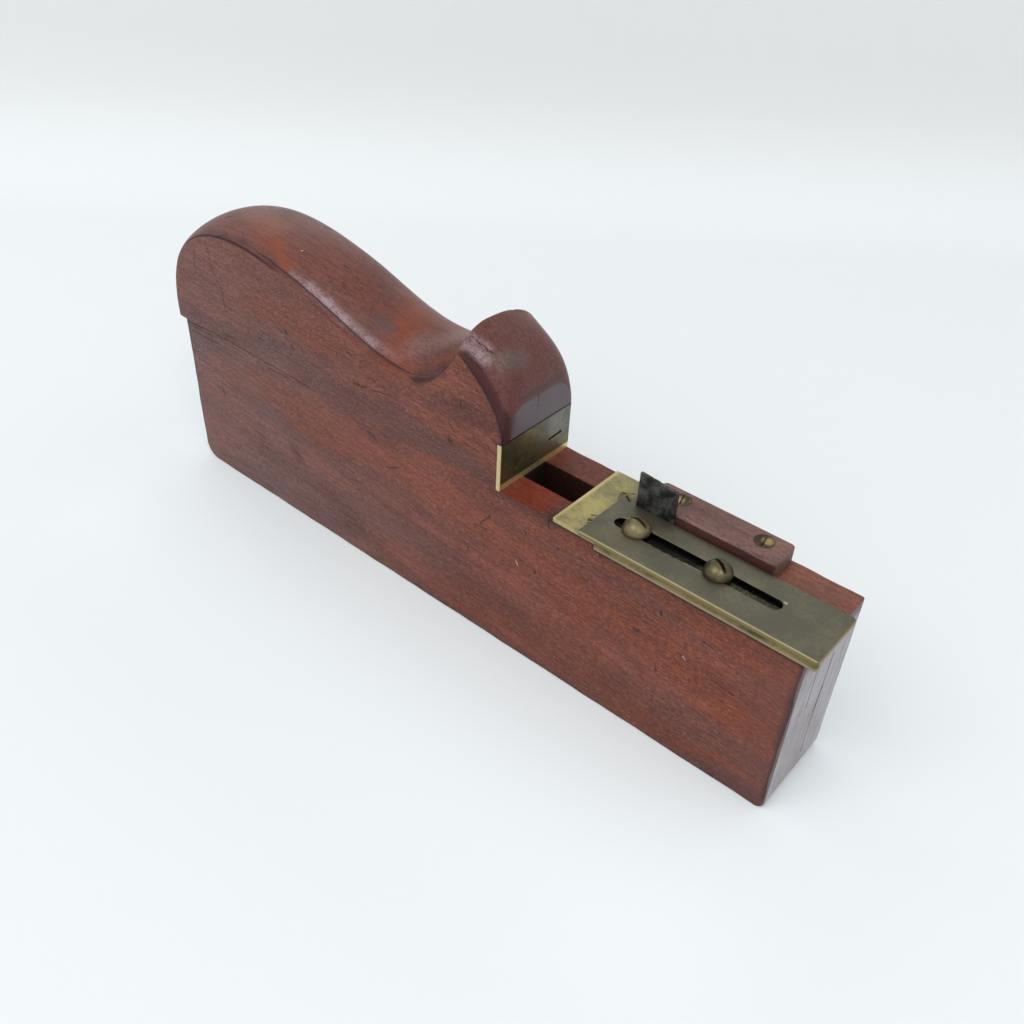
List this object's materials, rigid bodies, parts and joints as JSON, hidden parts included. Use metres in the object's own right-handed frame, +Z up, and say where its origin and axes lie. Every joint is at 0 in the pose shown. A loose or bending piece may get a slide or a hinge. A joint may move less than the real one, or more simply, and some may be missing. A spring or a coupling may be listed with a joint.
{
  "type": "slitting gauge",
  "caption": "Hand tool for slitting thin wood: a hardwood stock with a carved grip, a brass-faced fence, a slotted brass slide with clamp screws and a thin steel cutter.",
  "frame": {"origin": "centre of the sole, halfway along the stock and halfway across it", "axes": "+X along the stock from the grip's heel to the toe, +Z up from the sole, -Y towards the side that the picture shows"},
  "size_m": [0.2922, 0.0375, 0.1183],
  "materials": {
    "stock_wood": "satin",
    "strip_wood": "satin",
    "plate_brass": "worn satin",
    "slide_brass": "tarnished",
    "clamp_brass": "tarnished, worn bright on top",
    "screw_brass": "tarnished",
    "cutter_steel": "dark and pitted"
  },
  "bodies": {
    "stock": {"stock": "stock_wood", "fence_plate": "plate_brass", "bed_plate": "plate_brass", "guide_strip": "strip_wood", "fence_screw_near": "screw_brass", "fence_screw_far": "screw_brass", "bed_screw_rear_near": "screw_brass", "bed_screw_rear_far": "screw_brass", "bed_screw_front_near": "screw_brass", "bed_screw_front_far": "screw_brass", "strip_screw_rear": "screw_brass", "strip_screw_front": "screw_brass"},
    "slide": {"slide": "slide_brass", "slide_lip": "slide_brass"},
    "clamp_screw_rear": {"clamp_screw_rear": "clamp_brass"},
    "clamp_screw_front": {"clamp_screw_front": "clamp_brass"},
    "cutter": {"cutter": "cutter_steel"}
  },
  "joints": [
    {"name": "slide_travel", "type": "slide", "parent": "stock", "child": "slide", "axis": [1, 0, 0], "range_m": [-0.0185, 0.0045]},
    {"name": "clamp_rear_turn", "type": "hinge", "parent": "stock", "child": "clamp_screw_rear", "pos_m": [0.0749, -0.0068, 0.0697], "axis": [0, 0, 1], "range_deg": [0, 360]},
    {"name": "clamp_front_turn", "type": "hinge", "parent": "stock", "child": "clamp_screw_front", "pos_m": [0.1042, -0.0068, 0.0697], "axis": [0, 0, 1], "range_deg": [0, 360]},
    {"name": "cutter_height", "type": "slide", "parent": "stock", "child": "cutter", "axis": [0, 0, 1], "range_m": [-0.012, 0.006]}
  ]
}
